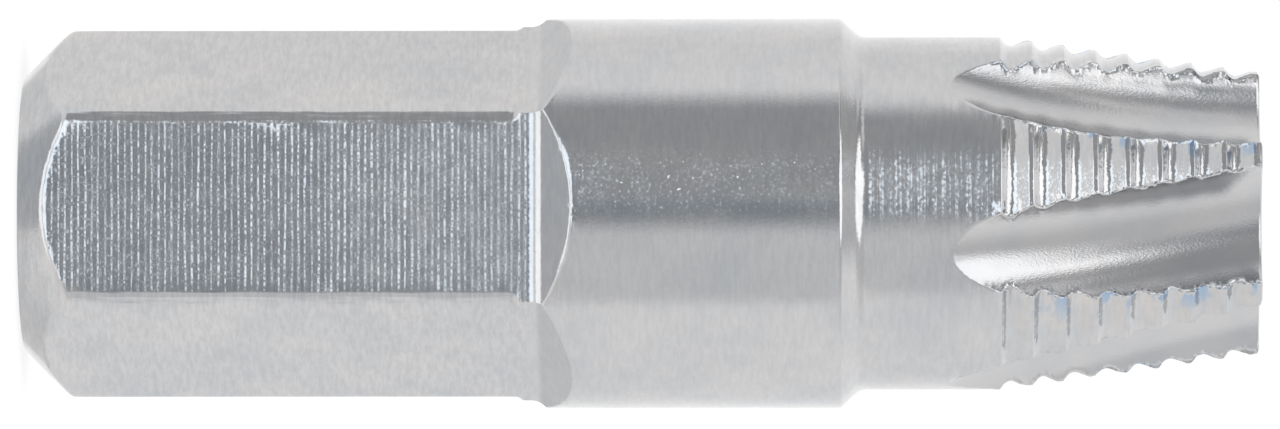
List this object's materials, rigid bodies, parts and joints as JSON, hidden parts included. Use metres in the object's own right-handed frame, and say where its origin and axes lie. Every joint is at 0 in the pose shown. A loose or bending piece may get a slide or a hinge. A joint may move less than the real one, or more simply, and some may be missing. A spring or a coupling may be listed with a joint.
{
  "type": "screw extractor",
  "caption": "Screw extractor bit: hexagonal drive shank, round collar and neck, and a tapered head with serration rings crossed by left-hand spiral flutes, for backing out broken screws.",
  "frame": {"origin": "centre of the drive end's flat face, at the foot of the shank", "axes": "+Z along the tool's axis from the drive end to the tapered tip; -Y is the outward normal of one flat of the hexagon"},
  "size_m": [0.012, 0.012, 0.0381],
  "materials": {
    "tool_steel": "satin machined and ground steel, with fine milling lines on the flats"
  },
  "bodies": {
    "root": {"screw_extractor": "tool_steel"}
  },
  "joints": []
}
